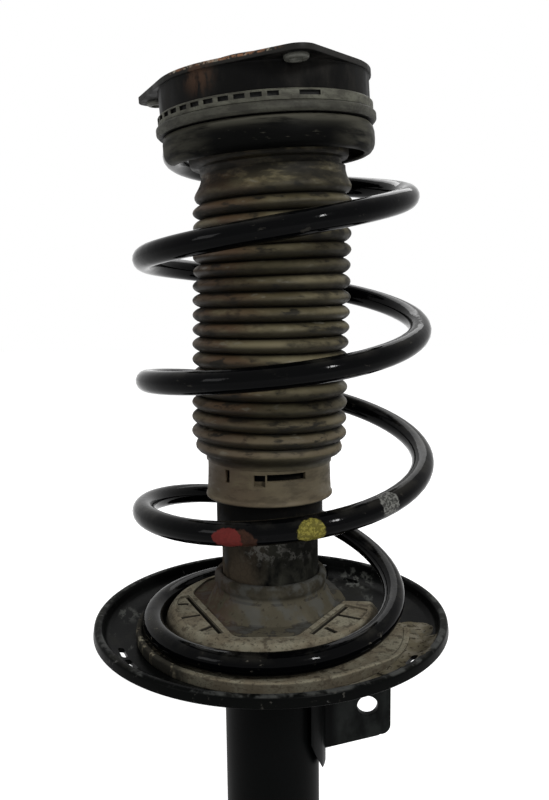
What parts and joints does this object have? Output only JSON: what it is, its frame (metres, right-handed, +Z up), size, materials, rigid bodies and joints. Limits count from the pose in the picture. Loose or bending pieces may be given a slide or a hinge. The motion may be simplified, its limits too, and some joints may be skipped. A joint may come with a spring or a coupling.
{
  "type": "suspension strut",
  "caption": "Suspension strut: tubular damper in a pressed dish, offset coil spring, ribbed dust boot, strut bearing and a three-lobed tilted top mount.",
  "frame": {"origin": "centre of the damper tube's bottom end, where the knuckle clamp's bore starts", "axes": "+Z up the strut's axis towards the top mount, +X towards the link bracket"},
  "size_m": [0.2024, 0.2024, 0.5225],
  "materials": {
    "tube_paint": "satin black paint",
    "dark_steel": "dull black paint",
    "machined_steel": "machined, oily",
    "bronze": "sintered bronze",
    "seal_rubber": "black rubber with dust",
    "dish_paint": "black paint, scuffed and dusty",
    "pad_rubber": "black rubber under beige dust",
    "cap_plastic": "black moulded plastic",
    "boot_rubber": "dusty brown-grey rubber",
    "spring_paint": "glossy black powder coat",
    "rod_chrome": "hard chrome",
    "foam": "cream polyurethane foam",
    "bearing_plastic": "olive grey plastic",
    "mount_paint": "black paint, worn at the edge",
    "nut_plating": "olive grey zinc plating"
  },
  "bodies": {
    "damper": {"damper_tube": "tube_paint", "base_cap": "dark_steel", "base_valve": "machined_steel", "pressure_tube": "machined_steel", "rod_guide": "machined_steel", "guide_bush": "bronze", "oil_seal": "seal_rubber", "spring_dish": "dish_paint", "link_bracket": "tube_paint", "lower_pad": "pad_rubber", "bump_cap": "cap_plastic", "boot_collar": "boot_rubber", "dust_boot": "boot_rubber", "coil_spring": "spring_paint"},
    "spring_top": {"bearing_lower_ring": "bearing_plastic", "bearing_cage": "cap_plastic", "bearing_balls": "rod_chrome", "upper_spring_seat": "seal_rubber"},
    "top_mount": {"mount_plate": "mount_paint", "mount_rubber": "seal_rubber", "captive_nuts": "nut_plating", "bearing_upper_ring": "bearing_plastic"},
    "rod": {"piston_rod": "rod_chrome", "piston": "machined_steel", "piston_band": "seal_rubber", "rebound_shims": "machined_steel", "compression_shims": "machined_steel", "piston_nut": "machined_steel", "rebound_ring": "machined_steel", "rebound_stop": "seal_rubber", "bump_stop": "foam", "lower_washer": "machined_steel", "mount_core": "machined_steel", "upper_washer": "machined_steel", "rod_nut": "machined_steel"}
  },
  "joints": [
    {"name": "strut_stroke", "type": "slide", "parent": "damper", "child": "spring_top", "axis": [0, 0, 1], "range_m": [-0.12, 0], "stiffness_N_per_m": 27000, "springref_m": 0.055, "deforming": ["coil_spring", "dust_boot", "bump_stop"]},
    {"name": "bearing_swivel", "type": "hinge", "parent": "spring_top", "child": "top_mount", "pos_m": [0, 0, 0.497], "axis": [-0.0649, -0.05, 0.9966], "range_deg": [-40, 40]},
    {"name": "rod_turn", "type": "hinge", "parent": "spring_top", "child": "rod", "pos_m": [0, 0, 0.497], "axis": [0, 0, 1], "range_deg": [-40, 40]}
  ],
  "couplings": [
    {"joint": "rod_turn", "follows": "bearing_swivel", "ratio": 1}
  ]
}
